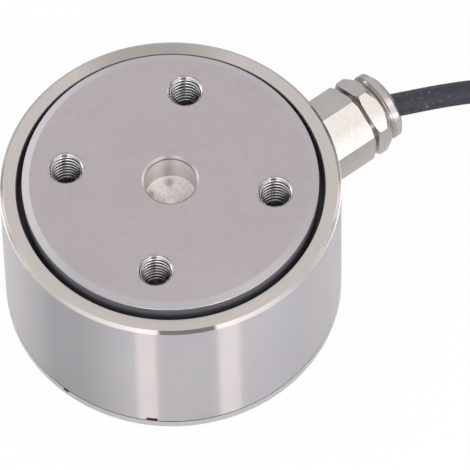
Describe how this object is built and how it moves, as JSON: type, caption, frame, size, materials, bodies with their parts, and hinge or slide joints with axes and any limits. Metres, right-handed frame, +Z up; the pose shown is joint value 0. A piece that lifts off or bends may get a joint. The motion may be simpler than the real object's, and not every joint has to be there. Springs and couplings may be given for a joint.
{
  "type": "column load cell",
  "caption": "Low round compression load cell: steel column inside a turned sleeve, load plate with tapped holes on top, gland and signal cable on its side.",
  "frame": {"origin": "middle of the underside of the base", "axes": "+Z up along the column, towards the load plate; +X along the gland, away from the housing"},
  "size_m": [0.1843, 0.069, 0.0353],
  "materials": {
    "steel_turned": "satin turned stainless steel",
    "steel_sleeve": "turned stainless steel sleeve, half gloss",
    "nickel": "nickel plated gland, milled faces",
    "black_rubber": "black moulded rubber",
    "cable_jacket": "slate black cable jacket, slightly dusty",
    "gauge_film": "amber film with etched foil",
    "board_green": "green circuit board",
    "ceramic": "black and white resistor bodies",
    "bright_metal": "tinned posts and screws",
    "brass_ring": "turned brass",
    "lead_white": "white insulated lead",
    "lead_green": "green insulated lead",
    "lead_black": "black insulated lead",
    "lead_red": "red insulated lead",
    "lead_shield": "bare tinned drain wire"
  },
  "bodies": {
    "root": {"axial_gauge_1": "gauge_film", "axial_gauge_2": "gauge_film", "axial_gauge_3": "gauge_film", "axial_gauge_4": "gauge_film", "base_seal": "black_rubber", "board_screws": "bright_metal", "board_spacers": "bright_metal", "cable_coil": "cable_jacket", "cable_inside": "cable_jacket", "cable_tube": "cable_jacket", "core_black": "lead_black", "core_green": "lead_green", "core_red": "lead_red", "core_shield": "lead_shield", "core_white": "lead_white", "cross_gauge_1": "gauge_film", "cross_gauge_2": "gauge_film", "cross_gauge_3": "gauge_film", "cross_gauge_4": "gauge_film", "gap_seal": "black_rubber", "gauge_leads": "gauge_film", "gland_body": "nickel", "gland_insert": "black_rubber", "gland_nut": "nickel", "gland_washer": "black_rubber", "housing": "steel_sleeve", "lead_black": "lead_black", "lead_green": "lead_green", "lead_red": "lead_red", "lead_shield": "lead_shield", "lead_white": "lead_white", "load_column": "steel_turned", "temperature_compensator": "ceramic", "terminal_board": "board_green", "terminal_posts": "bright_metal", "thrust_ring": "brass_ring", "trim_resistors": "ceramic"}
  },
  "joints": []
}
